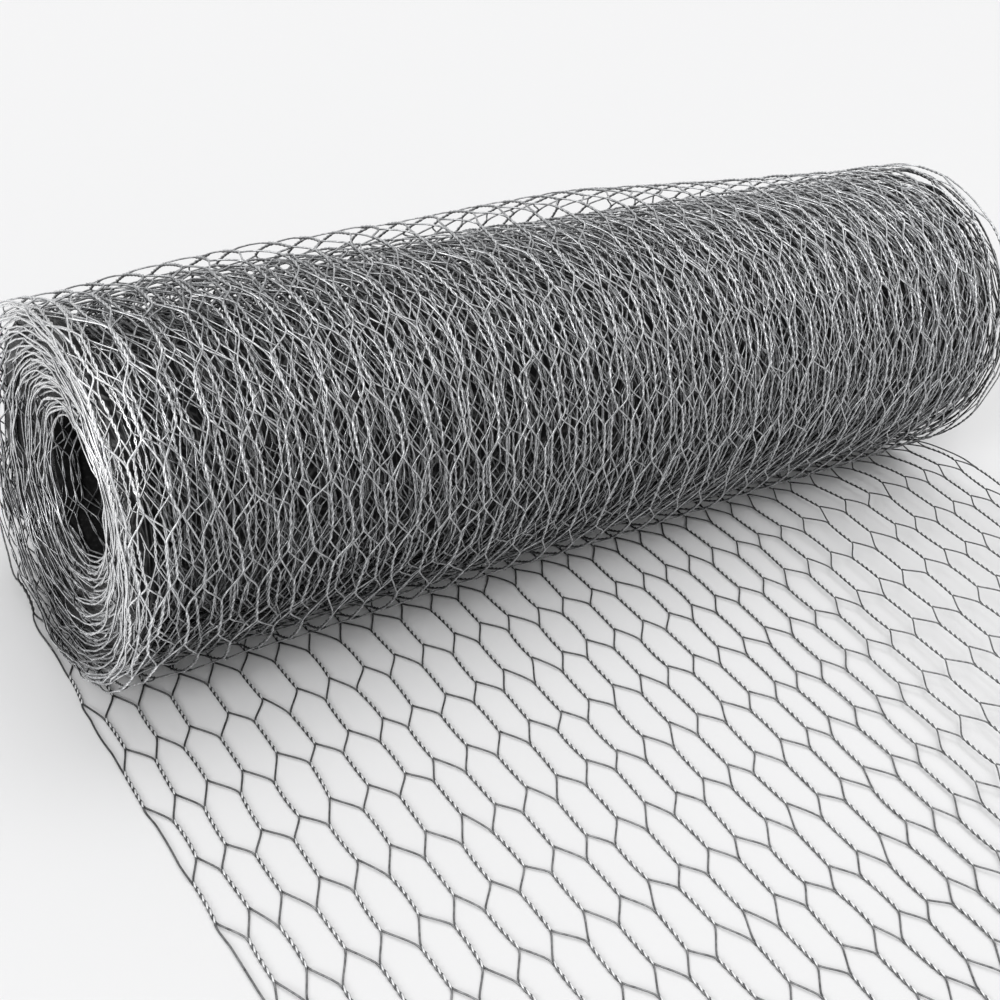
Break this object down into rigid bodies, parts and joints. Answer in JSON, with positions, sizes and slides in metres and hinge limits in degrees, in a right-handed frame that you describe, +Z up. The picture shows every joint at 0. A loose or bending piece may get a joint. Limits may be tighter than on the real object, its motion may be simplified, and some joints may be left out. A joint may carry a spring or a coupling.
{
  "type": "roll of chicken wire",
  "caption": "Roll of hexagonal galvanised wire netting on its side, with an open bore, a loose outer turn and its end pulled out flat.",
  "frame": {"origin": "on the axis of the roll's bore, halfway along the roll", "axes": "+X along the roll, -Y the way the loose end is pulled out, +Z up"},
  "size_m": [0.4, 0.3502, 0.1299],
  "materials": {
    "galvanised_wire": "dull galvanised"
  },
  "bodies": {
    "root": {"wound_roll": "galvanised_wire", "loose_turn": "galvanised_wire", "flat_netting_1": "galvanised_wire", "flat_netting_2": "galvanised_wire"}
  },
  "joints": []
}
